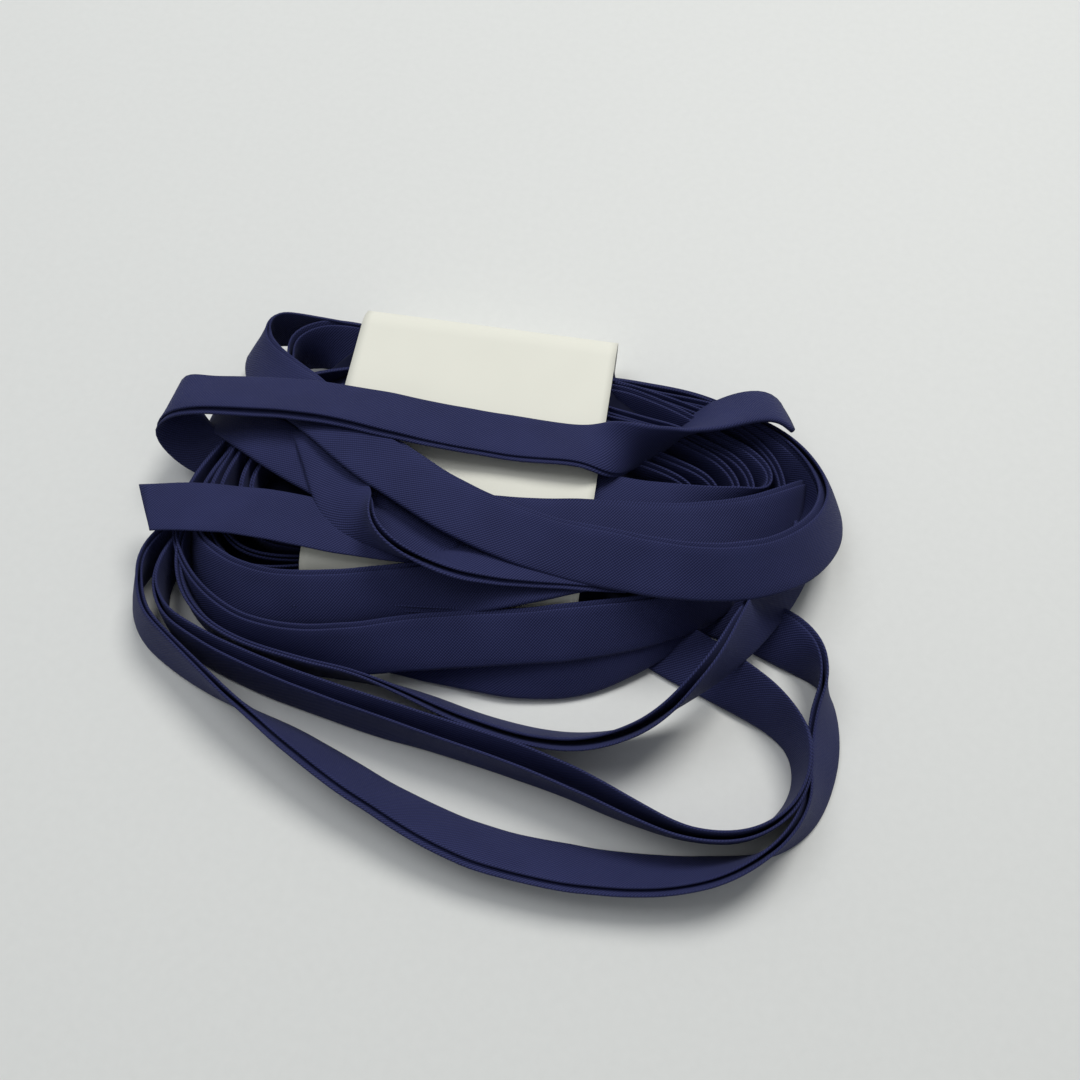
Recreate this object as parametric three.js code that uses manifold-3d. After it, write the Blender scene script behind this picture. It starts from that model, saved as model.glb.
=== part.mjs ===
// A bundle of double fold bias tape: one long navy tape wound into a flat hank,
// held round its middle by a plain paper band, with its front turns sprung loose
// in long loops and one cut end lying free on the left.
// Millimetres, +Z up. X runs along the hank, -Y is the side the loops lie on,
// and the hank rests on z = 0.
import * as THREE from "three";
import { mergeVertices } from "three/addons/utils/BufferGeometryUtils.js";
import Module from "manifold-3d";

// Driving dimensions
const TAPE_WIDTH = 12; // across the folded tape
const TAPE_THICKNESS = 1.5; // four plies of cotton and the air between them
const STEP = 6.5; // spacing of the sections along a loose strand
const BAND_LEFT = -29;
const BAND_RIGHT = 29.5;
const BAND_FRONT = -34;
const BAND_BACK = 35.5;
const BAND_HEIGHT = 15.4;
const BAND_THICKNESS = 1;
const BAND_ARC_STEPS = 10; // facets in each rounded side of the band

const NAVY = 0x2b3055;
const IVORY = 0xe9e6dc;

const wasm = await Module();
wasm.setup();

// A strand is a row for each bend: the middle of the tape, the compass direction
// (aim) and climb (rise) in degrees from its folded edge to its open edge, and
// how far the two leaves gape at the open edge.
const COLUMNS = ["x", "y", "z", "aim", "rise", "gape"];

const STRANDS = {
  // Over the top of the band, from its bend at the left to its dive at the right
  top_turn: [
    [-48, -9, 7, 235, -60, 0],
    [-56, -6.4, 6.6, 240, -46, 0],
    [-62.8, -3.4, 8, 248, -26, 0],
    [-66, 0, 12.4, 258, -6, 0],
    [-64.6, 1.6, 17, 266, 6, 0],
    [-58, 2, 19, 270, 16, 0.5],
    [-45, 3.2, 19.6, 270, 18, 0.8],
    [-32, 3.3, 20.6, 269, 17, 0.8],
    [-18, 2.6, 20.5, 267, 14, 0.5],
    [-4, 2, 19.3, 268, 11, 0],
    [12, 2, 17.9, 271, 10, 0],
    [28, 2.5, 18.1, 273, 14, 0],
    [36.6, 4.6, 18.6, 272, 32, 0],
    [43.6, 8.4, 18.8, 270, 62, 0],
    [50.8, 13, 18.2, 90, 86, 0],
    [58, 17, 17.8, 88, 80, 0],
    [63, 18.2, 16.8, 70, 76, 0],
    [66.8, 15.4, 15.2, 350, 78, 0],
    [68.4, 11, 12.4, 310, 66, 0],
    [66, 6.4, 9.4, 300, 60, 0],
  ],
  // Round the back of the right end, along the front and across the band, then
  // round the far left corner into the back of the hank
  wrap_turn: [
    [31, 24, 6.8, 270, 84, 0],
    [41, 24.2, 6.8, 270, 80, 0],
    [50.6, 23, 7.1, 264, 76, 0],
    [59.6, 21, 7.8, 250, 70, 0.2],
    [67.6, 16.8, 8.6, 234, 64, 0.4],
    [73.8, 11.8, 9.6, 214, 64, 0.6],
    [78.2, 6.2, 10.4, 192, 66, 0.8],
    [80, -0.8, 10.6, 180, 62, 0.8],
    [78, -9, 11.2, 160, 54, 0.6],
    [70.6, -16.2, 12.8, 134, 50, 0.4],
    [59.5, -20.8, 14.2, 108, 52, 0.4],
    [46, -22.2, 16, 94, 48, 0.4],
    [32, -22.2, 18.4, 88, 20, 0.4],
    [20, -21.6, 18.8, 78, 16, 0.3],
    [10, -19.4, 19.2, 70, 8, 0],
    [-0.4, -15.8, 19.4, 64, 4, 0],
    [-11, -10.6, 19.5, 61, 1, 0],
    [-19.6, -6.2, 19.6, 60, 0, 0],
    [-27.6, -1, 19.3, 58, 0, 0],
    [-36.4, 5.2, 17.4, 53, 8, 0],
    [-45, 11.6, 13.8, 42, 26, 0],
    [-51, 17.4, 10.6, 22, 44, 0],
    [-53.6, 23.6, 8.8, 5, 56, 0],
    [-50.6, 28.4, 8, 40, 74, 0],
    [-44, 29.8, 7.4, 80, 84, 0],
    [-34, 29.2, 7.4, 90, 86, 0],
    [-25, 28.4, 7.7, 90, 86, 0],
  ],
  // Out of the back left of the band, round a small bend and under the top turn,
  // then across the band, twisting to stand on its fold
  cross_turn: [
    [-25, 24.4, 9.8, 90, 36, 0.4],
    [-32, 24.2, 9.8, 90, 40, 0.4],
    [-37.6, 23.4, 9.4, 76, 52, 0.5],
    [-41.2, 21.2, 8.8, 54, 60, 0.6],
    [-41.6, 17.2, 8.8, 36, 60, 0.6],
    [-39.4, 12.4, 10, 28, 52, 0.5],
    [-36.6, 7.2, 12.8, 26, 34, 0.3],
    [-33.4, 2.4, 15.8, 28, 12, 0],
    [-30.1, -1.8, 17.3, 31, 4, 0],
    [-25.8, -9, 17.6, 30, 6, 0],
    [-22.2, -16.1, 18.1, 22, 24, 0.2],
    [-19, -20.7, 19.6, 20, 38, 0.4],
    [-15.8, -24, 20.8, 20, 60, 0.6],
    [-11.5, -27.2, 21.5, 340, 84, 0.8],
    [-6.3, -29.4, 21.3, 262, 78, 0.8],
    [-1.3, -29.2, 20.7, 266, 60, 0.8],
    [5, -27.6, 19.3, 267, 36, 0.8],
    [13, -25.4, 17.4, 270, 12, 0.6],
    [26, -24.6, 16.7, 275, 2, 0],
    [32, -24.4, 16.4, 276, 2, 0],
    [40, -24, 14, 278, 4, 0],
  ],
  // The turn under it, which lies flat from the left end onto the band
  flat_turn: [
    [-60.5, 6.4, 10, 62, 30, 0],
    [-53.4, 1.8, 13.6, 62, 12, 0],
    [-45, -3.4, 15.6, 62, 4, 0],
    [-36.4, -7.4, 16.3, 64, 2, 0],
    [-27.4, -10.9, 16.5, 66, 0, 0],
    [-18, -15.8, 16.5, 68, 0, 0],
    [-8, -18.6, 16.5, 74, 0, 0],
    [4, -20.4, 16.5, 82, 0, 0],
  ],
  // The turn that lies against the front of the band
  shoulder_turn: [
    [-50.8, -5, 6.6, 350, 86, 0],
    [-54, -14, 6.6, 355, 86, 0],
    [-55.6, -23, 6.6, 10, 80, 0],
    [-52.4, -31, 8.6, 40, 62, 0],
    [-44.6, -37, 10.8, 68, 46, 0],
    [-35, -39.2, 12, 84, 40, 0],
    [-23, -38.6, 12.8, 94, 38, 0],
    [-10, -35.8, 13.6, 100, 38, 0],
    [2, -32.8, 14.8, 102, 38, 0],
    [13, -30.2, 16.1, 102, 28, 0],
    [23, -28.4, 16.8, 98, 20, 0],
    [32, -27.4, 16.4, 96, 14, 0],
  ],
  // The turn in front of it, which rises to the right end
  front_turn: [
    [-53.4, -4, 6.8, 350, 84, 0],
    [-56.6, -13, 7, 355, 84, 0],
    [-58.4, -22, 7, 0, 82, 0],
    [-57.6, -30, 7, 10, 78, 0],
    [-53.8, -36.6, 7, 32, 72, 0],
    [-47.4, -42.6, 6.9, 56, 62, 0],
    [-38.6, -47, 6.8, 74, 58, 0],
    [-27, -48.6, 7, 88, 54, 0],
    [-15, -47.4, 8, 96, 42, 0],
    [-4, -44.4, 9.6, 100, 32, 0],
    [9, -41.2, 10.6, 102, 25, 0],
    [22, -38.2, 12, 103, 25, 0],
    [35, -34.6, 12.8, 106, 28, 0],
    [46, -30.2, 12.3, 113, 36, 0],
    [56, -24.8, 11.2, 124, 46, 0],
    [65, -18, 10.4, 140, 56, 0],
    [70, -9, 9.6, 164, 68, 0],
    [71, 1, 9, 182, 78, 0],
  ],
  // The turn that shows under the front turn
  under_turn: [
    [-8, -43.6, 4.8, 90, 38, 0],
    [6, -44.4, 4.7, 90, 38, 0],
    [19, -44.9, 4.7, 94, 38, 0],
    [30, -43.2, 4.9, 104, 42, 0],
    [38.6, -39.2, 5.6, 116, 50, 0],
    [46, -33.6, 6.6, 126, 60, 0],
    [54, -27, 7.6, 134, 68, 0],
    [62, -19, 8.2, 144, 74, 0],
    [67, -10, 8.4, 160, 78, 0],
    [68.4, -1, 8.4, 178, 82, 0],
  ],
  // Out of the right end, down over the loops and back along the front
  falling_turn: [
    [74, 2, 7.6, 182, 76, 0],
    [75.6, -7, 9, 174, 68, 0],
    [73.4, -16, 12.4, 166, 62, 0],
    [68.6, -25.4, 15.4, 158, 62, 0],
    [63.4, -34.4, 16.2, 152, 68, 0],
    [58, -42.2, 14.6, 146, 78, 0.4],
    [51.6, -49.2, 11, 300, 84, 0.8],
    [43.6, -54.6, 8, 290, 74, 1.2],
    [34.4, -57.6, 6.6, 276, 66, 1.2],
    [24, -58.2, 6, 270, 62, 1],
    [12, -56.2, 5.9, 266, 62, 0.8],
    [0, -53, 5.8, 264, 60, 0.4],
    [-12, -48.6, 4.8, 262, 44, 0],
    [-23, -44, 4, 260, 30, 0],
  ],
  // The inner of the two long loops on the table
  inner_loop: [
    [-52, -20, 6.6, 0, 88, 0],
    [-58, -31.5, 6.3, 0, 88, 0],
    [-58.8, -39.4, 6.2, 0, 87, 0],
    [-55.2, -45.8, 6.2, 30, 82, 0.6],
    [-47, -50.4, 6.1, 60, 76, 1.2],
    [-34, -54.6, 6, 76, 74, 1.8],
    [-15, -58.6, 5.9, 80, 74, 2.4],
    [5, -61.8, 6, 80, 77, 3],
    [20, -64.2, 6, 78, 80, 3.4],
    [33.5, -67.1, 6.1, 72, 84, 3.4],
    [45, -70.6, 6.2, 60, 88, 2.4],
    [57, -73, 6.2, 270, 86, 1.2],
    [67.4, -71.2, 6.2, 300, 86, 0.8],
    [74, -65.8, 6.3, 330, 87, 0.4],
    [76.8, -58.8, 6.3, 0, 86, 0],
    [76, -51.8, 6.1, 20, 78, 0],
    [71, -45.8, 5.8, 45, 62, 0],
    [62, -40.2, 5.4, 60, 50, 0],
    [52, -35.8, 5, 66, 44, 0],
    [41, -31.6, 5.4, 72, 50, 0],
  ],
  // The outer of the two
  outer_loop: [
    [-52, -18, 6.8, 0, 88, 0],
    [-58.5, -25.6, 6.4, 0, 88, 0],
    [-63, -33, 6.3, 0, 86, 0],
    [-63.8, -40, 6, 0, 68, 0.4],
    [-60.4, -46.8, 5.9, 30, 68, 0.6],
    [-53.2, -52, 5.9, 55, 70, 0.6],
    [-40, -59, 6.1, 60, 86, 0.6],
    [-23, -66.2, 5.6, 242, 64, 0.6],
    [-5, -74, 5, 245, 52, 0.6],
    [15, -80.2, 4.3, 260, 40, 0.6],
    [35, -82, 4.3, 270, 40, 0.6],
    [54, -80.6, 4.8, 280, 48, 0.6],
    [66, -77.2, 5.8, 295, 68, 0.6],
    [74.4, -72.4, 6.1, 135, 86, 0.6],
    [80.2, -65, 5.8, 155, 68, 0.8],
    [82.8, -55, 5, 180, 52, 1],
    [83, -45, 5.4, 180, 57, 1],
    [81.8, -37.8, 6, 200, 78, 0.6],
    [77, -32.4, 6, 45, 66, 0],
    [69, -28.8, 5.6, 60, 52, 0],
    [57, -26, 5.6, 74, 50, 0],
    [45, -24, 6, 80, 60, 0],
  ],
  // A flat turn out of the right side of the band that dives at the right end
  right_turn: [
    [31, -15.6, 14, 92, 6, 0],
    [44, -13.8, 14.2, 95, 10, 0],
    [56, -11, 14.2, 104, 14, 0],
    [64.6, -6.8, 14, 118, 18, 0],
    [70.6, -2.6, 12.8, 126, 28, 0],
    [73.8, -0.4, 9.6, 134, 50, 0],
    [74.4, 0.2, 6, 140, 76, 0],
  ],
  // The turn behind it, which bends back on itself at the right end
  back_turn: [
    [31.5, 19.8, 7.7, 95, 62, 0],
    [41, 16.9, 7.7, 90, 62, 0],
    [47.4, 14.2, 7.7, 80, 62, 0],
    [54, 10.6, 7.8, 68, 62, 0],
    [60.6, 7.8, 7.9, 60, 64, 0],
    [65.2, 4, 7.8, 30, 74, 0],
    [65.4, 0.6, 7.8, 60, 84, 0],
    [60, -2.8, 9, 112, 60, 0],
    [53, -5.4, 11, 108, 40, 0],
    [44, -6.9, 12.8, 95, 14, 0],
    [36, -7.1, 13.6, 90, 4, 0],
    [30.6, -7, 13.8, 90, 2, 0],
  ],
  // Where the free end comes from, between the band and the cross turn
  buried_end: [
    [-27.4, -23.8, 16.9, 267, 4, 0],
    [-14, -24, 16.8, 268, 2, 0],
    [-2, -23, 16.6, 272, 2, 0],
    [10, -21, 16.6, 275, 0, 0],
  ],
};

// The free end, cut across the bias
const FREE_END = [
  [-64, -24.7, 14.4, 268, 2, 0],
  [-56, -23.4, 15, 270, 3, 0],
  [-46, -22.8, 15.6, 270, 8, 0],
  [-36, -23.2, 16.6, 269, 6, 0],
  [-28.6, -23.8, 16.8, 267, 4, 0],
];
const CUT_SLANT = 4.4; // how far the front corner of the cut lies behind the back one

// The tight middle of the hank, a row for each station along it
const CORE_COLUMNS = ["x", "front", "back", "bottom", "top"];
const CORE = [
  [-59.5, -18, 2, 0, 10],
  [-57, -24, 9, 0, 11.4],
  [-50, -29.5, 17, 0, 12],
  [-40, -32, 25, 0, 12.4],
  [-31, -32.4, 29, 1.3, 13],
  [-27, -32.6, 32, 1.3, 14],
  [28, -32.6, 32, 1.3, 14],
  [32, -32.4, 28.4, 1.3, 13.4],
  [42, -30.6, 27, 0, 12.6],
  [52, -27, 24.6, 0, 12.2],
  [61, -21.5, 20, 0, 11.8],
  [68, -13.5, 13.4, 0, 11.2],
  [71, -4, 5, 0, 10],
];
const CORE_ARC_STEPS = 4; // facets in each rounded edge of the core
const CORE_CORNER = 6.2;

// Turns whose edges stand up at the ends: a row for each nest of turns
const NEST_COLUMNS = ["x", "y", "reach", "half_depth", "top", "count", "gap"];
const NESTS = [
  [34, 1.5, 37, 24, 13.6, 5, 4.4],
  [-36, -8, -23, 21, 13, 5, 3.6],
];
const NEST_SPAN_STEPS = 12;

const rad = THREE.MathUtils.degToRad;

// Rows of a table as objects, by the names of its columns
const named = (columns, rows) =>
  rows.map((row) => Object.fromEntries(columns.map((name, i) => [name, row[i]])));

const bearing = (aim, rise) =>
  new THREE.Vector3(
    Math.cos(rad(rise)) * Math.cos(rad(aim)),
    Math.cos(rad(rise)) * Math.sin(rad(aim)),
    Math.sin(rad(rise)),
  );

// The folded tape's section: u from the folded edge to the open one, v across
function tapeSection(gape) {
  const half = TAPE_WIDTH / 2;
  const side = TAPE_THICKNESS / 2;
  return [
    [-half, 0],
    [-half + 0.9, -side],
    [half, -side - gape / 2],
    [half - 0.8 - gape * 1.6, 0],
    [half, side + gape / 2],
    [-half + 0.9, side],
  ];
}

// A closed solid through rings of equal point counts, with flat caps
function loft(rings) {
  const n = rings[0].length;
  const position = rings.flat().flatMap((p) => [p.x, p.y, p.z]);
  const index = [];
  for (let i = 0; i + 1 < rings.length; i++)
    for (let j = 0; j < n; j++) {
      const a = i * n + j;
      const b = i * n + ((j + 1) % n);
      index.push(a, b, b + n, a, b + n, a + n);
    }
  const cap = (start, flip) => {
    const middle = position.length / 3;
    const ring = rings[start / n];
    const centre = ring
      .reduce((sum, p) => sum.add(p), new THREE.Vector3())
      .divideScalar(n);
    position.push(centre.x, centre.y, centre.z);
    for (let j = 0; j < n; j++) {
      const a = start + j;
      const b = start + ((j + 1) % n);
      if (flip) index.push(middle, b, a);
      else index.push(middle, a, b);
    }
  };
  cap(0, true);
  cap((rings.length - 1) * n, false);
  const geometry = new THREE.BufferGeometry();
  geometry.setAttribute(
    "position",
    new THREE.Float32BufferAttribute(position, 3),
  );
  geometry.setIndex(index);
  return geometry;
}

// The tape along its rows, smoothly between them
function ribbon(rows, slant = 0) {
  const points = named(COLUMNS, rows);
  const route = new THREE.CatmullRomCurve3(
    points.map((p) => new THREE.Vector3(p.x, p.y, p.z)),
    false,
    "centripetal",
  );
  const across = new THREE.CatmullRomCurve3(
    points.map((p) => bearing(p.aim, p.rise)),
    false,
    "catmullrom",
  );
  const last = points.length - 1;
  const rings = [];
  for (let i = 0; i < last; i++) {
    const from = route.getPoint(i / last);
    const span = from.distanceTo(route.getPoint((i + 1) / last));
    const steps = Math.max(1, Math.round(span / STEP));
    const stop = i === last - 1 ? steps : steps - 1;
    for (let k = 0; k <= stop; k++) {
      const f = k / steps;
      const t = (i + f) / last;
      const along = route.getTangent(t);
      const wide = across.getPoint(t);
      wide.addScaledVector(along, -wide.dot(along)).normalize();
      const thick = new THREE.Vector3().crossVectors(along, wide);
      const gape = THREE.MathUtils.lerp(points[i].gape, points[i + 1].gape, f);
      const shear = i === 0 && k === 0 ? slant / TAPE_WIDTH : 0;
      rings.push(
        tapeSection(gape).map(([u, v]) =>
          route
            .getPoint(t)
            .addScaledVector(wide, u)
            .addScaledVector(thick, v)
            .addScaledVector(along, shear * u),
        ),
      );
    }
  }
  return loft(rings);
}

// A rounded oblong in the YZ plane, turned from the back edge upwards
function oblong(x, front, back, bottom, top, corner, steps) {
  const radius = Math.min(corner, (top - bottom) / 2, (back - front) / 2);
  const corners = [
    [back - radius, top - radius, 0],
    [front + radius, top - radius, 90],
    [front + radius, bottom + radius, 180],
    [back - radius, bottom + radius, 270],
  ];
  return corners.flatMap(([y, z, start]) =>
    Array.from({ length: steps + 1 }, (_, i) => {
      const turn = rad(start + (90 * i) / steps);
      return new THREE.Vector3(
        x,
        y + radius * Math.cos(turn),
        z + radius * Math.sin(turn),
      );
    }),
  );
}

function coreGeometry() {
  return loft(
    named(CORE_COLUMNS, CORE).map((s) =>
      oblong(s.x, s.front, s.back, s.bottom, s.top, CORE_CORNER, CORE_ARC_STEPS),
    ),
  );
}

// Half an oval of standing tape round one end of the hank
function nestTurn(nest, place) {
  const inset = place * nest.gap;
  const reach = nest.reach - Math.sign(nest.reach) * inset;
  const depth = nest.half_depth - inset * 0.9;
  const rows = [];
  for (let i = 0; i <= NEST_SPAN_STEPS; i++) {
    const turn = rad(-90 + (180 * i) / NEST_SPAN_STEPS);
    rows.push([
      nest.x + reach * Math.cos(turn),
      nest.y + depth * Math.sin(turn),
      nest.top - TAPE_WIDTH / 2 - 0.2 * place,
      0,
      90,
      0,
    ]);
  }
  return ribbon(rows);
}

// Geometry as a solid that can be joined and cut
function solid(geometry) {
  const bare = new THREE.BufferGeometry();
  bare.setAttribute("position", geometry.getAttribute("position"));
  bare.setIndex(geometry.getIndex());
  const merged = mergeVertices(bare, 1e-4);
  return new wasm.Manifold(
    new wasm.Mesh({
      numProp: 3,
      vertProperties: new Float32Array(merged.attributes.position.array),
      triVerts: new Uint32Array(merged.index.array),
    }),
  );
}

function geometryOf(body) {
  const mesh = body.getMesh();
  const geometry = new THREE.BufferGeometry();
  geometry.setAttribute(
    "position",
    new THREE.BufferAttribute(mesh.vertProperties, mesh.numProp),
  );
  geometry.setIndex(new THREE.BufferAttribute(mesh.triVerts, 1));
  return geometry;
}

// The body without the slivers of air that joined turns can trap
function largest(body) {
  return body.decompose().reduce((a, b) => (a.volume() > b.volume() ? a : b));
}

// The wound form and the loose turns as one body
function hankGeometry() {
  let body = solid(coreGeometry());
  for (const nest of named(NEST_COLUMNS, NESTS))
    for (let place = 0; place < nest.count; place++)
      body = body.add(solid(nestTurn(nest, place)));
  for (const rows of Object.values(STRANDS)) body = body.add(solid(ribbon(rows)));
  return geometryOf(largest(body));
}

// The paper sleeve, open at both ends
function bandGeometry() {
  const sleeve = (inset, from, to) =>
    solid(
      loft(
        [from, to].map((x) =>
          oblong(
            x,
            BAND_FRONT + inset,
            BAND_BACK - inset,
            inset,
            BAND_HEIGHT - inset,
            BAND_HEIGHT,
            BAND_ARC_STEPS,
          ),
        ),
      ),
    );
  const outer = sleeve(0, BAND_LEFT, BAND_RIGHT);
  const inner = sleeve(BAND_THICKNESS, BAND_LEFT - 1, BAND_RIGHT + 1);
  return geometryOf(outer.subtract(inner));
}

function piece(name, geometry, color, roughness) {
  const material = new THREE.MeshStandardMaterial({
    color,
    roughness,
    metalness: 0,
  });
  const mesh = new THREE.Mesh(geometry, material);
  mesh.name = name;
  return mesh;
}

const bundle = new THREE.Group();
bundle.add(piece("hank", hankGeometry(), NAVY, 0.85));
bundle.add(piece("free_end", ribbon(FREE_END, CUT_SLANT), NAVY, 0.85));
bundle.add(piece("band", bandGeometry(), IVORY, 0.7));

// The part's origin is the middle of its bounding box at the table
const bounds = new THREE.Box3().setFromObject(bundle, true);
const middle = bounds.getCenter(new THREE.Vector3());
bundle.position.set(-middle.x, -middle.y, -bounds.min.z);

export default bundle;
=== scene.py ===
import math

import bpy
import numpy as np
from mathutils import Matrix, Vector


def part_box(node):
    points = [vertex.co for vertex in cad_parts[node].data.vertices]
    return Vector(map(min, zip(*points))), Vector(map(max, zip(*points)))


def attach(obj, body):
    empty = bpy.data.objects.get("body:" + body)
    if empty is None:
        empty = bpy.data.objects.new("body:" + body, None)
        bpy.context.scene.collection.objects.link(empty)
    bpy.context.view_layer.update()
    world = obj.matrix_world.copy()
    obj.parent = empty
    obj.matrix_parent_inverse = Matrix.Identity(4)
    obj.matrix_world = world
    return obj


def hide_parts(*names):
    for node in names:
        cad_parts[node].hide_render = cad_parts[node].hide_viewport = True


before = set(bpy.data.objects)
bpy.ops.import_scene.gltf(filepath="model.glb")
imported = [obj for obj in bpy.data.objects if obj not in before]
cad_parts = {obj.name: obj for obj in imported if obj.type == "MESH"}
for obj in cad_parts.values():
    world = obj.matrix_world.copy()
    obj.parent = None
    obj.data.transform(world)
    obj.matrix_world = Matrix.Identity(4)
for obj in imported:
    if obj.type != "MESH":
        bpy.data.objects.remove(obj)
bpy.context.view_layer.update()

MM = 0.001

# The folded tape
TAPE_WIDTH = 12.0
LEAF = 0.58  # thickness of each of its two leaves
SLIT = 0.1  # air between the leaves
SLIT_DEPTH = 9.0  # how far the leaves are apart, in from the open edge
LEAF_STEP = 0.85  # how much narrower one leaf is than the other
FOLD_REACH = 0.7  # how far the fold's rounding runs in from its edge
CROWN = 0.1  # how far a leaf's face swells between its edges
RING_STEP = 1.2  # spacing of the sections along a strand
WEAVE_PITCH = 0.46
CUT_SLANT = 4.4  # how far the front corner of the cut lies behind the back one
PATH_EASING = 6  # smoothing passes over a strand's path
LEAN_EASING = 8  # smoothing passes over the way its width points

# Unevenness of the tape: its reach and its shortest wave
EDGE_WANDER = (0.14, 9)
TILT_WANDER = (0.16, 15)
CUP_WANDER = (0.3, 21)

# The paper band
BAND_LEFT = -29.0
BAND_RIGHT = 29.5
BAND_FRONT = -34.0
BAND_BACK = 35.5
BAND_HEIGHT = 15.4
PAPER = 0.32
BAND_CORNER = 7.7

# The camera, as the photograph was taken
VIEW_AZIMUTH = 9.0
VIEW_ELEVATION = 65.0
VIEW_DISTANCE = 232.0
VIEW_TARGET = (19.5, -18.0, 12.0)
VIEW_LENS = 36.667
SENSOR = 36.0
FLOOR_SIZE = 4  # metres

# The lamps: place in metres, size, power and tint
KEY = ((0.3, 0.78, 1.2), 0.6, 12, (1, 0.985, 0.95))
FILL = ((-0.5, 0.3, 1.2), 0.8, 4.6, (0.97, 0.98, 1))
SKY_TINT = (0.95, 0.98, 1, 1)
SKY_STRENGTH = 0.25

# Colours, the dark and the light of each material
NAVY = ((0.003, 0.0035, 0.018, 1), (0.034, 0.04, 0.124, 1))
# Painted shade: the core's navy is darker than the strands' only to stand in for the deep
# shadow between the turns inside the hank
SHADED_NAVY = ((0.003, 0.004, 0.016, 1), (0.014, 0.017, 0.05, 1))
SHEEN_TINT = (0.62, 0.68, 1, 1)
IVORY = ((0.77, 0.77, 0.69, 1), (0.83, 0.83, 0.745, 1))
TABLE = ((0.73, 0.745, 0.735, 1), (0.77, 0.785, 0.775, 1))

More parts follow.
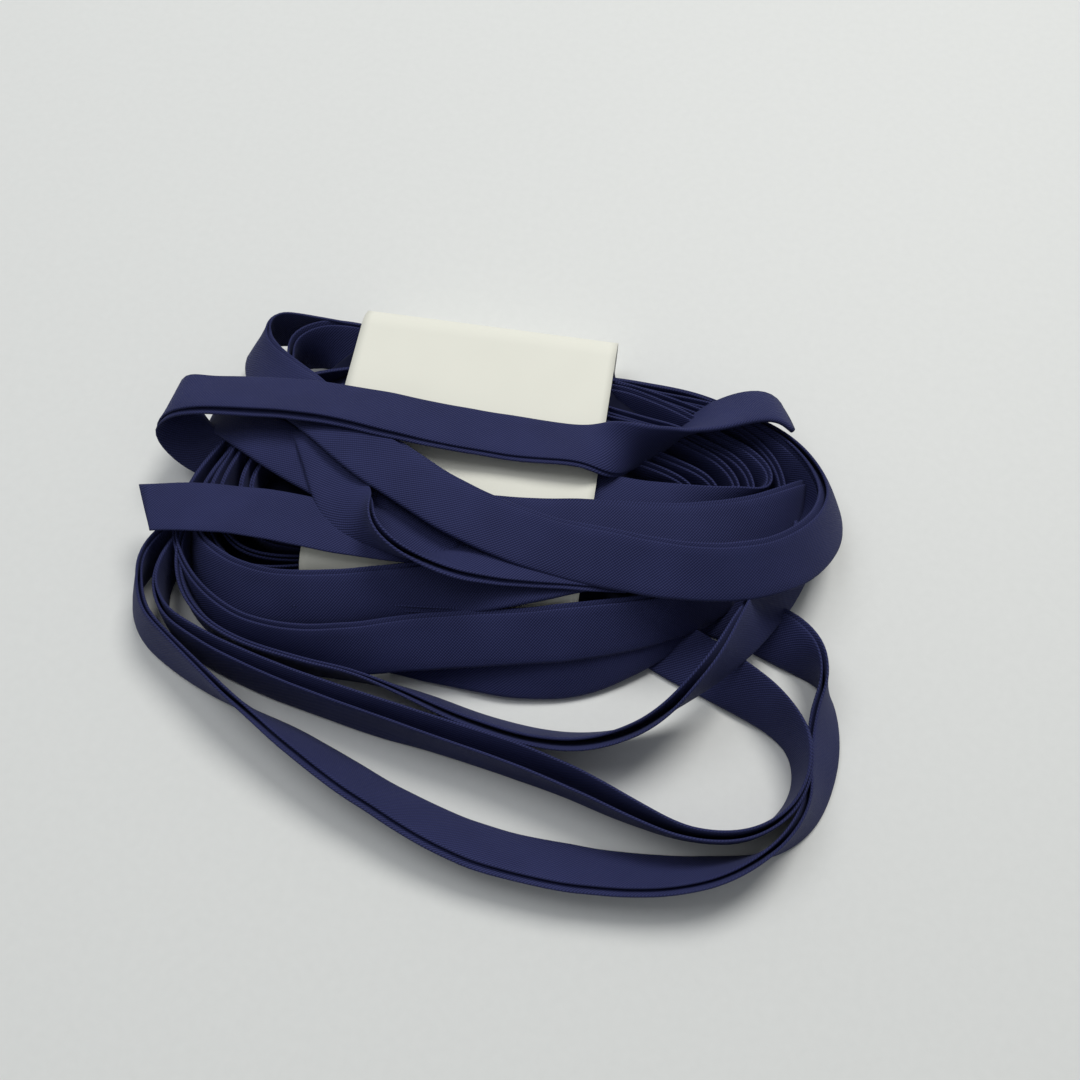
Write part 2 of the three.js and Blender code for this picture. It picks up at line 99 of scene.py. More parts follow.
# A row for each bend of a strand. Columns: x, y and z of the middle of the tape, the
# direction (aim) and climb (rise) in degrees from its folded edge to its open edge,
# and how far the two leaves gape at the open edge.
STRANDS = {
    "top_turn": [
        (-48, -9, 7, 235, -60, 0),
        (-56, -6.4, 6.6, 240, -46, 0),
        (-62.8, -3.4, 8, 248, -26, 0),
        (-66, 0, 12.4, 258, -6, 0),
        (-64.6, 1.6, 17, 266, 6, 0),
        (-58, 2, 19, 270, 16, 0.5),
        (-45, 3.2, 19.6, 270, 18, 0.8),
        (-32, 3.3, 20.6, 269, 17, 0.8),
        (-18, 2.6, 20.5, 267, 14, 0.5),
        (-4, 2, 19.3, 268, 11, 0),
        (12, 2, 18.3, 271, 10, 0),
        (27, 2.4, 18.4, 273, 12, 0),
        (32.4, 2.8, 17.8, 272, -26, 0),
        (36, 4.2, 16.8, 272, -62, 0),
        (39.4, 6, 15.6, 272, -78, 0),
        (42.4, 7.8, 14.6, 270, -90, 0),
        (44.8, 9.7, 14.2, 90, -72, 0),
        (47.5, 11.8, 14.6, 90, -54, 0),
        (50.4, 13.8, 15.4, 92, -38, 0),
        (54.1, 15.7, 16.2, 94, -29, 0),
        (57.5, 17.4, 16.6, 94, -27, 0),
        (60.7, 18.9, 16.6, 93, -26, 0),
        (64.6, 20, 16.2, 90, -28, 0),
        (67.2, 19.9, 15.2, 86, -34, 0),
        (69, 18.8, 13.2, 76, -50, 0),
    ],
    "wrap_turn": [
        (26, 24.4, 7.4, 270, 82, 0),
        (34, 24.8, 6.9, 270, 82, 0),
        (42, 24.8, 6.8, 270, 80, 0),
        (50.6, 23.8, 7.1, 264, 76, 0),
        (59.6, 21, 7.8, 250, 70, 0.2),
        (67.8, 17.4, 8.8, 234, 66, 0.4),
        (74, 12.2, 9.8, 214, 64, 0.6),
        (78.2, 6.2, 10.6, 196, 64, 0.8),
        (80, -1.1, 12.6, 182, 60, 0.8),
        (77.6, -9.8, 16.2, 162, 50, 0.6),
        (70.6, -17.9, 19.2, 140, 38, 0.4),
        (60.6, -22.4, 20, 118, 34, 0.4),
        (48, -24, 20, 100, 28, 0.4),
        (35.2, -23.5, 19.8, 88, 24, 0.4),
        (22, -22.5, 19.9, 80, 17, 0.3),
        (10, -19.8, 20, 70, 8, 0),
        (-0.4, -16.2, 20.2, 64, 4, 0),
        (-11, -11, 20.2, 61, 1, 0),
        (-19.6, -6.6, 20.2, 60, 0, 0),
        (-27.6, -1.2, 19.6, 58, 0, 0),
        (-36.4, 5.2, 17.4, 53, 8, 0),
        (-45, 11.6, 13.8, 42, 26, 0),
        (-51, 17.4, 10.6, 22, 44, 0),
        (-53.6, 23.6, 8.8, 5, 56, 0),
        (-50.6, 28.4, 8, 40, 74, 0),
        (-44, 29.8, 7.4, 80, 84, 0),
        (-34, 29.2, 7.4, 90, 86, 0),
        (-25, 28.4, 7.7, 90, 86, 0),
    ],
    "cross_turn": [
        (-25, 24.4, 9.2, 90, 36, 0.4),
        (-32, 25.2, 9, 90, 44, 0.4),
        (-39, 25.4, 8.2, 80, 60, 0.5),
        (-44.6, 22, 7.6, 50, 70, 0.6),
        (-45.6, 16.8, 7.8, 30, 70, 0.6),
        (-42.4, 11.4, 9.4, 26, 56, 0.5),
        (-38, 6.6, 12.4, 26, 34, 0.3),
        (-34, 2, 15.4, 28, 12, 0),
        (-30.4, -2.6, 17.3, 31, 2, 0),
        (-26.8, -9, 17.5, 30, 2, 0),
        (-23.6, -15, 17.4, 24, 4, 0.2),
        (-20.6, -19.6, 18.2, 20, 18, 0.4),
        (-16.8, -23.6, 19.6, 14, 44, 0.6),
        (-11.5, -27.2, 20.6, 340, 82, 0.8),
        (-6.3, -29, 20, 262, 76, 0.8),
        (-1.3, -29, 19.2, 266, 56, 0.8),
        (5, -27.8, 18.2, 267, 32, 0.8),
        (13, -26, 17.6, 270, 10, 0.6),
        (26, -24.6, 17.2, 275, 2, 0),
        (38, -23, 16.2, 278, 4, 0),
    ],
    "flat_turn": [
        (-57.6, 5.4, 9, 62, 26, 0),
        (-52.4, 1.8, 12.6, 62, 12, 0),
        (-45, -3, 14.8, 62, 4, 0),
        (-36.4, -7.4, 15.6, 64, 2, 0),
        (-27.4, -11.4, 15.9, 66, 0, 0),
        (-18, -15.8, 16, 68, 0, 0),
        (-8, -18.6, 16, 74, 0, 0),
        (4, -20.4, 16, 82, 0, 0),
    ],
    "shoulder_turn": [
        (-50.8, -5, 6.6, 350, 86, 0),
        (-54, -14, 6.6, 355, 86, 0),
        (-55.6, -23, 6.6, 10, 80, 0),
        (-52.4, -31, 8.6, 40, 62, 0),
        (-44.6, -37, 10.8, 68, 46, 0),
        (-35, -39.2, 12, 84, 40, 0),
        (-23, -38.6, 12.8, 94, 38, 0),
        (-10, -35.8, 13.6, 100, 38, 0),
        (2, -32.8, 14.6, 102, 32, 0),
        (13, -29.8, 15.6, 103, 16, 0),
        (22, -26.6, 16.1, 104, 6, 0),
        (30, -23.4, 16.2, 104, 4, 0),
    ],
    "front_turn": [
        (-53.4, -4, 6.8, 350, 84, 0),
        (-56.6, -13, 7, 355, 84, 0),
        (-58.4, -22, 7, 0, 82, 0),
        (-57.6, -30, 7, 10, 78, 0),
        (-53.8, -36.6, 7, 32, 72, 0),
        (-47.4, -42.6, 6.9, 56, 68, 0),
        (-38.6, -46.6, 7.4, 76, 66, 0),
        (-27, -48, 8, 88, 60, 0),
        (-15, -47, 8.8, 96, 48, 0),
        (-4, -44.2, 9.6, 100, 38, 0),
        (9, -41.4, 10.2, 102, 34, 0),
        (22, -38.8, 10.8, 103, 34, 0),
        (34, -35.6, 11.2, 108, 40, 0),
        (45, -31.6, 10.6, 117, 50, 0),
        (54, -26.6, 9.2, 127, 58, 0),
        (61, -20.4, 7.6, 138, 64, 0),
    ],
    "under_turn": [
        (-8, -43.6, 4.8, 90, 38, 0),
        (6, -44.4, 4.7, 90, 38, 0),
        (19, -44.9, 4.7, 94, 38, 0),
        (30, -43.2, 4.9, 104, 42, 0),
        (38.6, -39, 5.8, 116, 44, 0),
        (46, -33.6, 6.4, 124, 48, 0),
        (54, -27.2, 6.2, 132, 56, 0),
    ],
    "falling_turn": [
        (75.4, -5, 6, 176, 60, 0),
        (75, -9.6, 6.2, 172, 56, 0),
        (73.5, -13.6, 6.6, 168, 52, 0),
        (71.2, -18.2, 7.8, 163, 48, 0),
        (68.9, -22.8, 9.4, 160, 48, 0),
        (66.4, -27.4, 11, 157, 50, 0.4),
        (63, -33.4, 13.4, 152, 60, 1),
        (57.8, -42.1, 14.2, 146, 78, 1.4),
        (51.2, -49.2, 11, 300, 84, 1.6),
        (43.6, -54.6, 8, 290, 74, 1.6),
        (34.4, -57.6, 6.6, 276, 66, 1.4),
        (24, -58.2, 6.1, 270, 64, 1),
        (12, -56.6, 6, 266, 66, 0.8),
        (0, -53.8, 6, 264, 72, 0.4),
        (-12, -51.6, 6.1, 270, 80, 0),
        (-24, -51, 6.2, 266, 86, 0),
        (-36, -49.4, 6.2, 254, 88, 0),
        (-46, -45.6, 6.2, 240, 88, 0),
        (-52.8, -38.8, 6.3, 212, 88, 0),
        (-55.4, -30.6, 6.4, 190, 88, 0),
        (-55, -22, 6.4, 180, 88, 0),
    ],
    "inner_loop": [
        (-52, -20, 6.6, 0, 88, 0),
        (-58, -31.5, 6.3, 0, 88, 0),
        (-58.8, -39.4, 6.2, 0, 87, 0),
        (-55.2, -45.8, 6.2, 30, 82, 0.6),
        (-47, -50.4, 6.1, 60, 76, 1.2),
        (-34, -54.6, 6, 76, 74, 1.8),
        (-15, -58.6, 5.9, 80, 74, 2.4),
        (5, -61.8, 6, 80, 77, 3),
        (20, -64.2, 6, 78, 80, 3.4),
        (33.5, -67.1, 6.1, 72, 84, 3.4),
        (45, -70.6, 6.2, 60, 88, 2.4),
        (57, -73, 6.2, 270, 86, 1.2),
        (68, -71.6, 6.2, 300, 86, 0.8),
        (75.2, -66, 6.3, 330, 87, 0.4),
        (78.2, -58.8, 6.3, 0, 86, 0),
        (77.2, -51.4, 6.1, 20, 78, 0),
        (71.6, -45.4, 5.6, 45, 60, 0),
        (62, -39.8, 4.2, 60, 38, 0),
        (52, -35, 2.4, 66, 18, 0),
        (42, -30.4, 1.6, 72, 8, 0),
    ],
    "outer_loop": [
        (-52, -18, 6.8, 0, 88, 0),
        (-58.5, -25.6, 6.4, 0, 88, 0),
        (-63, -33, 6.3, 0, 86, 0),
        (-63.8, -40, 6, 0, 68, 0.4),
        (-60.4, -46.8, 5.9, 30, 68, 0.6),
        (-53.2, -52, 5.9, 55, 70, 0.6),
        (-40, -59, 6.1, 60, 86, 0.6),
        (-23, -66.2, 5.6, 242, 64, 0.6),
        (-5, -74, 5, 245, 52, 0.6),
        (15, -80.2, 4.3, 260, 40, 0.6),
        (35, -82, 4.3, 270, 40, 0.6),
        (54, -80.6, 4.8, 280, 48, 0.6),
        (66, -77.2, 5.8, 295, 68, 0.6),
        (74.4, -72.4, 6.1, 135, 86, 0.6),
        (80, -65, 5.8, 155, 68, 0.8),
        (82, -55, 5, 178, 50, 1),
        (82.2, -45, 5.4, 180, 55, 1),
        (81.4, -37.8, 6, 200, 78, 0.6),
        (77, -32, 5.4, 45, 60, 0),
        (69, -27, 3.2, 60, 30, 0),
        (57, -23.4, 2.2, 74, 18, 0),
        (45, -21, 1.4, 80, 8, 0),
    ],
    "right_turn": [
        (6, -17.6, 16.4, 88, 2, 0),
        (18, -16.6, 16.5, 90, 4, 0),
        (29, -15.4, 16.6, 92, 10, 0),
        (36, -14.6, 16, 93, 12, 0),
        (44.6, -13.4, 15.4, 96, 14, 0),
        (54, -11.6, 15, 102, 20, 0),
        (62.8, -8.4, 14.2, 114, 28, 0),
        (69.4, -4.4, 12.6, 124, 40, 0),
        (73.4, -0.8, 10.2, 132, 54, 0),
        (75, 1, 7.2, 138, 70, 0),
    ],
    "back_turn": [
        (26, 19.4, 8, 95, 66, 0),
        (34, 18.8, 7.8, 95, 62, 0),
        (41, 16.9, 7.7, 90, 62, 0),
        (47.4, 14.2, 7.7, 80, 62, 0),
        (54, 10.6, 7.8, 68, 62, 0),
        (60.6, 7.8, 7.9, 60, 64, 0),
        (65.2, 4, 7.8, 30, 74, 0),
        (65.4, 0.6, 7.8, 60, 84, 0),
        (60, -2.8, 9, 112, 60, 0),
        (53, -5.4, 10.6, 108, 40, 0),
        (44, -6.9, 11.8, 95, 14, 0),
        (36, -7.1, 12.6, 90, 4, 0),
        (26, -7, 13, 90, 2, 0),
    ],
}

# The loose cut end, and on under the crossing turns, with the same columns
FREE_END = [
    (-64, -24.7, 14.4, 268, 2, 0),
    (-56, -23.4, 15, 270, 3, 0),
    (-46, -22.8, 15.6, 270, 8, 0),
    (-36, -23.2, 16.6, 269, 6, 0),
    (-27.4, -23.8, 16.9, 267, 4, 0),
    (-14, -24, 16.6, 268, 2, 0),
    (-2, -23, 16, 272, 2, 0),
    (10, -21, 15.6, 275, 0, 0),
]

# Turns that stand on edge deep in the hank. Columns: x, y and z of the upper edge,
# and its lean in degrees towards the right-hand side of its way.
NEST_TURNS = {
    "right_nest_1": [
        (26, 23.4, 13.4, -8),
        (34, 22.2, 13.2, -8),
        (45.7, 19.8, 13, -8),
        (54, 17.4, 12.8, -8),
        (62, 13.6, 12.6, -8),
        (67.4, 8, 12.6, -8),
        (69.6, 1, 12.4, -8),
        (68.4, -7, 12.3, -4),
        (62, -14.6, 12.3, 0),
        (52, -20, 12.3, 0),
        (40, -23, 12.3, 0),
        (26, -24.6, 12.6, 0),
    ],
    "right_nest_2": [
        (26, 16.4, 13.4, -10),
        (37.7, 14.5, 13, -10),
        (45.7, 13.4, 13, -10),
        (51.6, 10.8, 13, -10),
        (58.1, 8, 13, -10),
        (62, 4.1, 12.8, -8),
        (63, -1.5, 12.4, -4),
        (60, -8, 12.3, 0),
        (52, -13, 12.3, 0),
        (42, -16, 12.3, 0),
        (26, -18, 12.4, 0),
    ],
    "right_nest_3": [
        (26, 13.8, 13.4, -8),
        (37.8, 12.6, 13, -8),
        (43.9, 11.4, 13, -8),
        (50, 9, 13, -8),
        (55.1, 6.6, 13, -8),
        (59, 2.8, 12.8, -6),
        (59.8, -2, 12.4, -2),
        (56.5, -7.4, 12.3, 0),
        (49, -11.4, 12.3, 0),
        (40, -13.6, 12.3, 0),
        (26, -14.6, 12.3, 0),
    ],
    "right_nest_4": [
        (26, 10, 13.2, -8),
        (37, 8, 12.8, -8),
        (43.4, 5.9, 12.8, -8),
        (49.1, 4.2, 12.8, -8),
        (53.6, 2, 12.6, -6),
        (55.8, -1.4, 12.4, -2),
        (53.6, -6, 12.3, 0),
        (47, -9, 12.3, 0),
        (39, -10.6, 12.3, 0),
        (26, -11.2, 12.3, 0),
    ],
    "right_nest_5": [
        (26, 6, 13, -6),
        (38.9, 3.8, 12.6, -8),
        (43.8, 2.5, 12.6, -8),
        (48.6, 0.6, 12.4, -4),
        (51, -2.2, 12.3, 0),
        (47.6, -5.6, 12.3, 0),
        (40, -7.4, 12.3, 0),
        (26, -8, 12.3, 0),
    ],
    "left_nest_1": [
        (-26, 19, 12.6, 0),
        (-40, 14, 12.6, 0),
        (-46.6, 4, 13, 2),
        (-50.6, -7.2, 13, 2),
        (-52.5, -16.1, 13, 2),
        (-52, -23, 12.8, 2),
        (-49.6, -28, 12.6, 4),
        (-44.1, -32.6, 12.4, 6),
        (-37, -33.4, 12.4, 8),
        (-26, -31.4, 12.4, 8),
    ],
    "left_nest_2": [
        (-26, 15, 12.4, 0),
        (-38, 10, 12.4, 0),
        (-44.6, 2, 13, 2),
        (-48.7, -7.4, 13, 2),
        (-50.5, -16, 13, 2),
        (-49.4, -23, 13, 4),
        (-45.8, -27.9, 13, 8),
        (-41.5, -30.4, 13, 14),
        (-35.2, -31, 13, 18),
        (-26, -29.6, 13, 18),
    ],
    "left_nest_3": [
        (-26, 3, 12.2, 0),
        (-38, 1, 12.2, 0),
        (-43.6, -4, 12.6, 2),
        (-46.1, -10.1, 13, 2),
        (-46.1, -16, 13, 2),
        (-44, -22.4, 12.6, 2),
        (-38.6, -26.6, 12.4, 2),
        (-26, -27.4, 12.4, 2),
    ],
    "left_nest_4": [
        (-26, -2, 12.2, 0),
        (-37, -3.4, 12.2, 0),
        (-42, -7, 12.6, 2),
        (-44, -10.7, 13, 2),
        (-43.9, -16, 13, 2),
        (-41.6, -20.6, 12.6, 2),
        (-36.6, -23.4, 12.4, 2),
        (-26, -24, 12.4, 2),
    ],
    "rim_liner": [
        (30, 22.6, 13, -6),
        (44, 21.4, 13.2, -8),
        (54, 19.8, 13.6, -14),
        (61, 17.2, 14, -22),
        (67.4, 13.8, 14, -26),
        (72.9, 9.2, 14, -28),
        (76.4, 4.4, 14, -28),
        (77.8, 0, 14, -28),
        (77, -4.6, 14, -26),
        (73.1, -9, 13.8, -18),
        (68, -13, 13.4, -8),
        (60, -17, 12.8, -4),
    ],
    "gap_turn": [
        (-28, -41, 12.2, 0),
        (-14, -38.6, 12.8, 0),
        (2, -37, 13.2, 0),
        (16, -35.8, 13.2, 0),
        (28, -33.6, 13, 0),
        (40, -29.8, 12.6, 0),
        (50, -24, 12.2, 0),
    ],
}

# Which leaf is the narrower one, where it isn't the upper one at the start
STEP_SIDES = {"top_turn": -1, "wrap_turn": -1, "cross_turn": -1, "outer_loop": -1}

# The tight middle of the hank. Columns: x, front y, back y, bottom z and top z.
CORE = [
    (-50, -27, 4, 0.2, 5),
    (-46, -30, 12, 0.2, 6),
    (-38, -32, 19, 0.2, 7),
    (-31, -32.4, 26, 1.3, 10),
    (-27, -32.6, 32, 1.3, 14),
    (28, -32.6, 32, 1.3, 14),
    (31, -32, 24, 1.3, 11),
    (38, -30.6, 23, 0.2, 8),
    (52, -26, 20, 0.2, 6.6),
    (60, -20, 15, 0.2, 6),
    (66, -12, 8, 0.2, 5),
]
CORE_CORNER = 4.0

low_band, high_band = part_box("band")
SHIFT = Vector((low_band[0] / MM - BAND_LEFT, low_band[1] / MM - BAND_FRONT, 0))


def place(points):
    """Points of the tables, in millimetres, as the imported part's metres."""
    return (np.asarray(points, float) + np.array(SHIFT)) * MM


def add_camera():
    azimuth = math.radians(VIEW_AZIMUTH)
    elevation = math.radians(VIEW_ELEVATION)
    back = Vector((
        math.sin(azimuth) * math.cos(elevation),
        -math.cos(azimuth) * math.cos(elevation),
        math.sin(elevation),
    ))
    right = Vector((math.cos(azimuth), math.sin(azimuth), 0))
    up = back.cross(right)
    spot = (Vector(VIEW_TARGET) + SHIFT + back * VIEW_DISTANCE) * MM
    data = bpy.data.cameras.new("camera")
    data.lens = VIEW_LENS
    data.sensor_width = SENSOR
    data.clip_start = 0.01
    data.dof.use_dof = False
    camera = bpy.data.objects.new("camera", data)
    camera.matrix_world = Matrix((
        (right.x, up.x, back.x, spot.x),
        (right.y, up.y, back.y, spot.y),
        (right.z, up.z, back.z, spot.z),
        (0, 0, 0, 1),
    ))
    bpy.context.collection.objects.link(camera)
    bpy.context.scene.camera = camera


def add_light(name, spot, size, power, tint):
    data = bpy.data.lights.new(name, "AREA")
    data.shape = "DISK"
    data.size = size
    data.energy = power
    data.color = tint
    light = bpy.data.objects.new(name, data)
    light.location = spot
    light.rotation_euler = (-Vector(spot)).to_track_quat("-Z", "Y").to_euler()
    bpy.context.collection.objects.link(light)


def add_lights():
    world = bpy.data.worlds.new("studio")
    world.use_nodes = True
    sky = world.node_tree.nodes["Background"]
    sky.inputs["Color"].default_value = SKY_TINT
    sky.inputs["Strength"].default_value = SKY_STRENGTH
    bpy.context.scene.world = world
    add_light("key", *KEY)
    add_light("fill", *FILL)


class Nodes:
    """Adds shader nodes to one material, a short call for each."""

    def __init__(self, name):
        self.material = bpy.data.materials.new(name)
        self.material.use_nodes = True
        self.tree = self.material.node_tree
        self.shader = self.tree.nodes["Principled BSDF"]

    def add(self, kind, inputs=(), **settings):
        node = self.tree.nodes.new(kind)
        for key, value in settings.items():
            setattr(node, key, value)
        for key, value in dict(inputs).items():
            if isinstance(value, bpy.types.NodeSocket):
                self.tree.links.new(value, node.inputs[key])
            else:
                node.inputs[key].default_value = value
        return node

    def math(self, operation, first, second=0.0):
        node = self.add("ShaderNodeMath", {0: first, 1: second}, operation=operation)
        return node.outputs[0]

    def mix(self, factor, first, second):
        node = self.add("ShaderNodeMix", data_type="RGBA")
        for key, value in (("Factor", factor), (6, first), (7, second)):
            if isinstance(value, bpy.types.NodeSocket):
                self.tree.links.new(value, node.inputs[key])
            else:
                node.inputs[key].default_value = value
        return node.outputs[2]

    def noise(self, vector, scale, detail=2.0):
        node = self.add(
            "ShaderNodeTexNoise", {"Vector": vector, "Scale": scale, "Detail": detail}
        )
        return node.outputs["Fac"]

    def bump(self, height, distance, strength, normal=None):
        node = self.add(
            "ShaderNodeBump",
            {"Height": height, "Distance": distance, "Strength": strength},
        )
        if normal is not None:
            self.tree.links.new(normal, node.inputs["Normal"])
        return node.outputs["Normal"]

    def finish(self, **links):
        for key, value in links.items():
            self.tree.links.new(value, self.shader.inputs[key.replace("_", " ")])
        return self.material


def weave_height(nodes, pitch):
    """Ribbed threads at 45 degrees to the tape, crossed by finer ones, from its UV."""
    flat = nodes.add("ShaderNodeUVMap", uv_map="tape").outputs["UV"]
    parts = nodes.add("ShaderNodeSeparateXYZ", {0: flat})
    turn = math.pi / (pitch * math.sqrt(2))
    total = nodes.math("ADD", parts.outputs[0], parts.outputs[1])
    difference = nodes.math("SUBTRACT", parts.outputs[0], parts.outputs[1])
    warp = nodes.math("SINE", nodes.math("MULTIPLY", total, turn))
    weft = nodes.math("SINE", nodes.math("MULTIPLY", difference, turn))
    beads = nodes.math("MULTIPLY", nodes.math("ABSOLUTE", warp), 0.45)
    return nodes.math("MULTIPLY", nodes.math("ABSOLUTE", weft), nodes.math("ADD", beads, 0.55))


def tape_material(name, dark, light):
    nodes = Nodes(name)
    shader = nodes.shader
    shader.inputs["Roughness"].default_value = 0.65
    shader.inputs["Specular IOR Level"].default_value = 0.1
    shader.inputs["Sheen Weight"].default_value = 0.05
    shader.inputs["Sheen Roughness"].default_value = 0.45
    shader.inputs["Sheen Tint"].default_value = SHEEN_TINT
    height = weave_height(nodes, WEAVE_PITCH)
    spot = nodes.add("ShaderNodeTexCoord").outputs["Object"]
    cloudy = nodes.noise(spot, 90.0)
    fine = nodes.noise(spot, 900.0)
    threads = nodes.mix(height, dark, light)
    worn = tuple(min(1, value * 1.35) for value in light[:3]) + (1,)
    faded = nodes.math("MULTIPLY", cloudy, 0.4)
    colour = nodes.mix(faded, threads, worn)
    relief = nodes.bump(height, 0.00012, 0.8)
    relief = nodes.bump(fine, 0.0001, 0.25, relief)
    return nodes.finish(Base_Color=colour, Normal=relief)


def paper_material():
    nodes = Nodes("ivory_paper")
    shader = nodes.shader
    shader.inputs["Roughness"].default_value = 0.62
    shader.inputs["Specular IOR Level"].default_value = 0.35
    spot = nodes.add("ShaderNodeTexCoord").outputs["Object"]
    fibres = nodes.noise(spot, 1400.0, 4.0)
    clouds = nodes.noise(spot, 60.0)
    colour = nodes.mix(clouds, *IVORY)
    relief = nodes.bump(fibres, 0.00004, 0.4)
    return nodes.finish(Base_Color=colour, Normal=relief)


def floor_material():
    nodes = Nodes("pale_table")
    nodes.shader.inputs["Roughness"].default_value = 0.55
    nodes.shader.inputs["Specular IOR Level"].default_value = 0.3
    spot = nodes.add("ShaderNodeTexCoord").outputs["Object"]
    grain = nodes.noise(spot, 500.0, 3.0)
    colour = nodes.mix(grain, *TABLE)
    relief = nodes.bump(grain, 0.00005, 0.15)
    return nodes.finish(Base_Color=colour, Normal=relief)


def hermite(start, end, leave, arrive, f):
    """A point between two points, for the ways the curve leaves and arrives."""
    square = f * f
    cube = square * f
    return (
        start * (2 * cube - 3 * square + 1)
        + leave * (cube - 2 * square + f)
        + end * (3 * square - 2 * cube)
        + arrive * (cube - square)
    )


def through(points, span, f, even):
    """A point on the smooth curve through the points, a fraction f along one span."""
    last = len(points) - 1
    before = points[span - 1] if span else 2 * points[0] - points[1]
    start, end = points[span], points[span + 1]
    after = points[span + 2] if span + 1 < last else 2 * points[last] - points[last - 1]
    if even:
        return hermite(start, end, (end - before) / 2, (after - start) / 2, f)
    gaps = [
        max(np.linalg.norm(b - a), 1e-6) ** 0.5
        for a, b in ((before, start), (start, end), (end, after))
    ]
    leave = (
        (start - before) / gaps[0]
        - (end - before) / (gaps[0] + gaps[1])
        + (end - start) / gaps[1]
    )
    arrive = (
        (end - start) / gaps[1]
        - (after - start) / (gaps[1] + gaps[2])
        + (after - end) / gaps[2]
    )
    return hermite(start, end, leave * gaps[1], arrive * gaps[1], f)


def unit(rows):
    return rows / np.linalg.norm(rows, axis=-1, keepdims=True)


def smooth(rows, passes):
    """Evens out a path, but for its two ends."""
    for _ in range(passes):
        rows[1:-1] = (rows[:-2] + 2 * rows[1:-1] + rows[2:]) / 4
    return rows


def sampled(rows):
    """Middle, width direction and gape at close steps along a strand's rows."""
    table = np.array(rows, float)
    middle = table[:, :3]
    aim, rise = np.radians(table[:, 3]), np.radians(table[:, 4])
    wide = np.stack(
        [np.cos(rise) * np.cos(aim), np.cos(rise) * np.sin(aim), np.sin(rise)], axis=1
    )
    path, across, gape = [], [], []
    for span in range(len(rows) - 1):
        steps = max(2, round(np.linalg.norm(middle[span + 1] - middle[span]) / RING_STEP))
        count = steps + 1 if span == len(rows) - 2 else steps
        for k in range(count):
            f = k / steps
            path.append(through(middle, span, f, False))
            across.append(through(wide, span, f, True))
            gape.append(table[span, 5] * (1 - f) + table[span + 1, 5] * f)
    path = smooth(np.array(path), PATH_EASING)
    across = smooth(np.array(across), LEAN_EASING)
    along = unit(np.gradient(path, axis=0))
    across -= along * np.sum(across * along, axis=1, keepdims=True)
    return path, along, unit(across), np.array(gape)


def wander(rng, length, reach, shortest):
    """A gentle unevenness along a strand, as a few waves with seeded phases."""
    total = np.zeros_like(length)
    for k in range(4):
        wave = shortest * 1.7**k
        total += np.sin(2 * math.pi * (length / wave + rng.random())) * (0.6 + 0.4 * k)
    return total * reach / 4


def tape_section(side):
    """The folded tape across: u from fold to open edge, v through it, and how much
    each point moves with the gape. The leaf on that side of the slit is narrower."""
    half = TAPE_WIDTH / 2
    thick = SLIT / 2 + LEAF
    root = half - SLIT_DEPTH

    def leaf(sign):
        tip = half - (LEAF_STEP if sign == side else 0)
        nose = LEAF / 2
        outline = []
        for k in range(8):
            f = k / 7
            u = -half + FOLD_REACH + f * (tip - nose + half - FOLD_REACH)
            outline.append((u, sign * (thick + CROWN * math.sin(math.pi * f))))
        for degrees in (50, 0, -50):
            turn = math.radians(degrees)
            outline.append((
                tip - nose + nose * math.cos(turn),
                sign * (SLIT / 2 + nose + nose * math.sin(turn)),
            ))
        for f in (0, 0.35, 0.7):
            outline.append((tip - nose + f * (root - tip + nose), sign * SLIT / 2))
        return [
            (u, v, sign / 2 * max(0.0, (u - root) / (tip - root)) ** 1.3)
            for u, v in outline
        ]

    points = leaf(1) + [(root, 0.0, 0.0)] + leaf(-1)[::-1]
    for degrees in (234, 198, 162, 126):
        turn = math.radians(degrees)
        points.append((
            -half + FOLD_REACH + FOLD_REACH * math.cos(turn),
            thick * math.sin(turn),
            0.0,
        ))
    return np.array(points)


def tape_points(rows, section, slant, rng):
    """A strand's rings of points, and how far along it each ring lies."""
    path, along, across, gape = sampled(rows)
    steps = np.linalg.norm(np.diff(path, axis=0), axis=1)
    run = np.concatenate([[0], np.cumsum(steps)])
    thick = np.cross(along, across)
    u = section[None, :, 0] + np.zeros((len(path), 1))
    v = section[None, :, 1] + section[None, :, 2] * gape[:, None]
    share = section[None, :, 0] / (TAPE_WIDTH / 2)
    u = u + share * wander(rng, run, *EDGE_WANDER)[:, None]
    v = v + share * wander(rng, run, *TILT_WANDER)[:, None]
    v = v + (share**2 - 0.4) * wander(rng, run, *CUP_WANDER)[:, None]
    sheared = np.where(run < 2, 1 - run / 2, 0) * slant / TAPE_WIDTH
    spots = (
        path[:, None, :]
        + across[:, None, :] * u[:, :, None]
        + thick[:, None, :] * v[:, :, None]
        + along[:, None, :] * (sheared[:, None] * section[None, :, 0])[:, :, None]
    )
    return spots, run


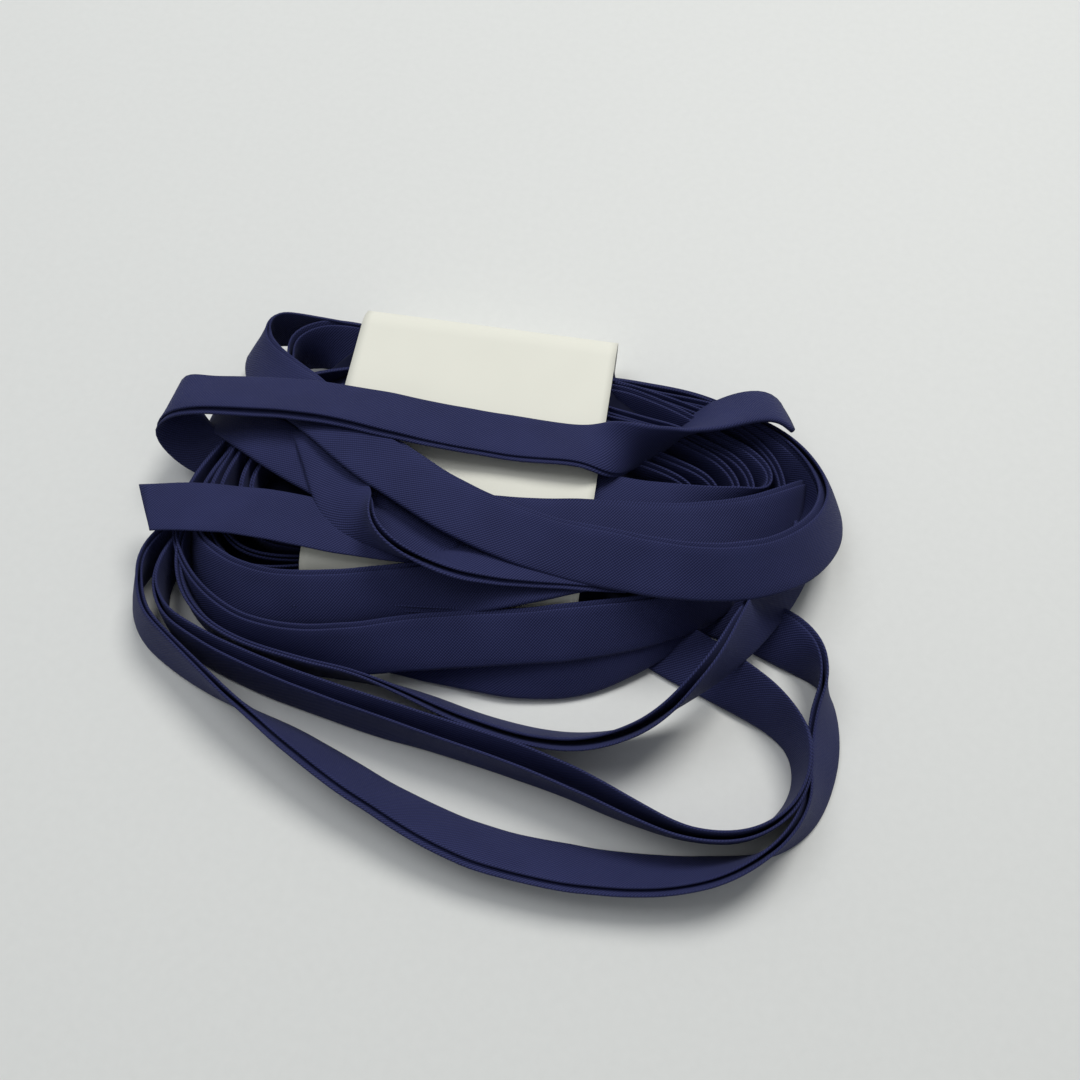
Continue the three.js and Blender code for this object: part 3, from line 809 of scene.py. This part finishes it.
def tape_mesh(name, rows, side, slant):
    """A strand as one closed mesh with its UV along and round the tape, and its length."""
    section = tape_section(side)
    rng = np.random.default_rng([len(name), 0, int(abs(rows[0][0] * 10))])
    spots, run = tape_points(rows, section, slant, rng)
    rings, corners = len(run), len(section)
    closed = np.vstack([section, section[:1]])[:, :2]
    girth = np.concatenate(
        [[0], np.cumsum(np.linalg.norm(np.diff(closed, axis=0), axis=1))]
    )
    faces, uvs = [], []
    for i in range(rings - 1):
        near, far = run[i], run[i + 1]
        for j in range(corners):
            a, b = i * corners + j, i * corners + (j + 1) % corners
            faces.append((a, b, b + corners, a + corners))
            uvs += [
                (near, girth[j]), (near, girth[j + 1]),
                (far, girth[j + 1]), (far, girth[j]),
            ]
    for i, backwards in ((0, True), (rings - 1, False)):
        ring = [i * corners + j for j in range(corners)]
        flat = [(run[i] + x[1], x[0]) for x in section]
        if backwards:
            ring.reverse()
            flat.reverse()
        faces.append(tuple(ring))
        uvs += flat
    mesh = bpy.data.meshes.new(name)
    mesh.from_pydata(place(spots.reshape(-1, 3)).tolist(), [], faces)
    layer = mesh.uv_layers.new(name="tape")
    layer.data.foreach_set("uv", np.array(uvs, dtype=np.float32).ravel())
    return mesh, run[-1] * MM


def add_piece(name, mesh, material, node):
    """A mesh as a piece that stands for a node of the CAD."""
    mesh.polygons.foreach_set("use_smooth", [True] * len(mesh.polygons))
    mesh.materials.append(material)
    mesh.update()
    piece = bpy.data.objects.new(name, mesh)
    bpy.context.collection.objects.link(piece)
    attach(piece, "root")
    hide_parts(node)
    return piece


def add_tape(name, rows, material, node, side=1, slant=0):
    mesh, length = tape_mesh(name, rows, side, slant)
    piece = add_piece(name, mesh, material, node)


def standing(rows):
    """A standing turn's upper edge and lean as rows of the middle of the tape."""
    half = TAPE_WIDTH / 2
    out = []
    for k, (x, y, top, lean) in enumerate(rows):
        ahead, behind = rows[min(k + 1, len(rows) - 1)], rows[max(k - 1, 0)]
        heading = math.atan2(ahead[1] - behind[1], ahead[0] - behind[0])
        inwards = math.degrees(heading) - 90
        tilt = math.radians(lean)
        out.append((
            x - half * math.sin(tilt) * math.cos(math.radians(inwards)),
            y - half * math.sin(tilt) * math.sin(math.radians(inwards)),
            top - half * math.cos(tilt),
            inwards,
            90 - lean,
            0.15,
        ))
    return out


def oblong(x, front, back, bottom, top, corner, steps):
    """A rounded oblong across the hank, from the back edge upwards."""
    radius = min(corner, (top - bottom) / 2, (back - front) / 2)
    points = []
    for y, z, start in (
        (back - radius, top - radius, 0),
        (front + radius, top - radius, 90),
        (front + radius, bottom + radius, 180),
        (back - radius, bottom + radius, 270),
    ):
        for k in range(steps + 1):
            turn = math.radians(start + 90 * k / steps)
            points.append((x, y + radius * math.cos(turn), z + radius * math.sin(turn)))
    return points


def add_loft(name, rings, material, node, closed=False):
    """A skin over rings of equal point counts, capped unless it closes on itself."""
    corners = len(rings[0])
    count = len(rings)
    faces = []
    for i in range(count if closed else count - 1):
        for j in range(corners):
            k = (j + 1) % corners
            n = (i + 1) % count
            faces.append((
                i * corners + j, i * corners + k, n * corners + k, n * corners + j,
            ))
    if not closed:
        faces.append(tuple(range(corners - 1, -1, -1)))
        faces.append(tuple((count - 1) * corners + j for j in range(corners)))
    mesh = bpy.data.meshes.new(name)
    mesh.from_pydata(place([p for ring in rings for p in ring]).tolist(), [], faces)
    add_piece(name, mesh, material, node)


def add_core(material):
    rings = [oblong(*row, CORE_CORNER, 6) for row in CORE]
    add_loft("core", rings, material, "hank")


def add_band(material):
    """The paper sleeve: outer and inner skins joined at its two open ends."""
    def ring(x, inset):
        return oblong(
            x, BAND_FRONT + inset, BAND_BACK - inset, inset, BAND_HEIGHT - inset,
            BAND_CORNER, 14,
        )

    stations = np.linspace(BAND_LEFT, BAND_RIGHT, 30)
    outer = [ring(x, 0) for x in stations]
    inner = [ring(x, PAPER) for x in stations[::-1]]
    add_loft("paper_band", outer + inner, material, "band", closed=True)


def add_floor(material):
    bpy.ops.mesh.primitive_plane_add(size=FLOOR_SIZE, location=(0, 0, 0))
    floor = bpy.context.object
    floor.name = "table"
    floor.data.materials.append(material)


def add_strands(material):
    for name, rows in STRANDS.items():
        add_tape(name, rows, material, "hank", side=STEP_SIDES.get(name, 1))
    for name, rows in NEST_TURNS.items():
        add_tape(name, standing(rows), material, "hank")
    add_tape("cut_end", FREE_END, material, "free_end", slant=CUT_SLANT)


add_camera()
add_lights()
bpy.context.scene.view_settings.view_transform = "Standard"
navy = tape_material("navy_tape", *NAVY)
# Painted shade: the hank's core gets this darker navy for the shadow deep inside the hank; the
# tape there is the same navy as the strands
core_shade_navy = tape_material("navy_core_painted_shade", *SHADED_NAVY)
add_floor(floor_material())
add_core(core_shade_navy)
add_band(paper_material())
add_strands(navy)
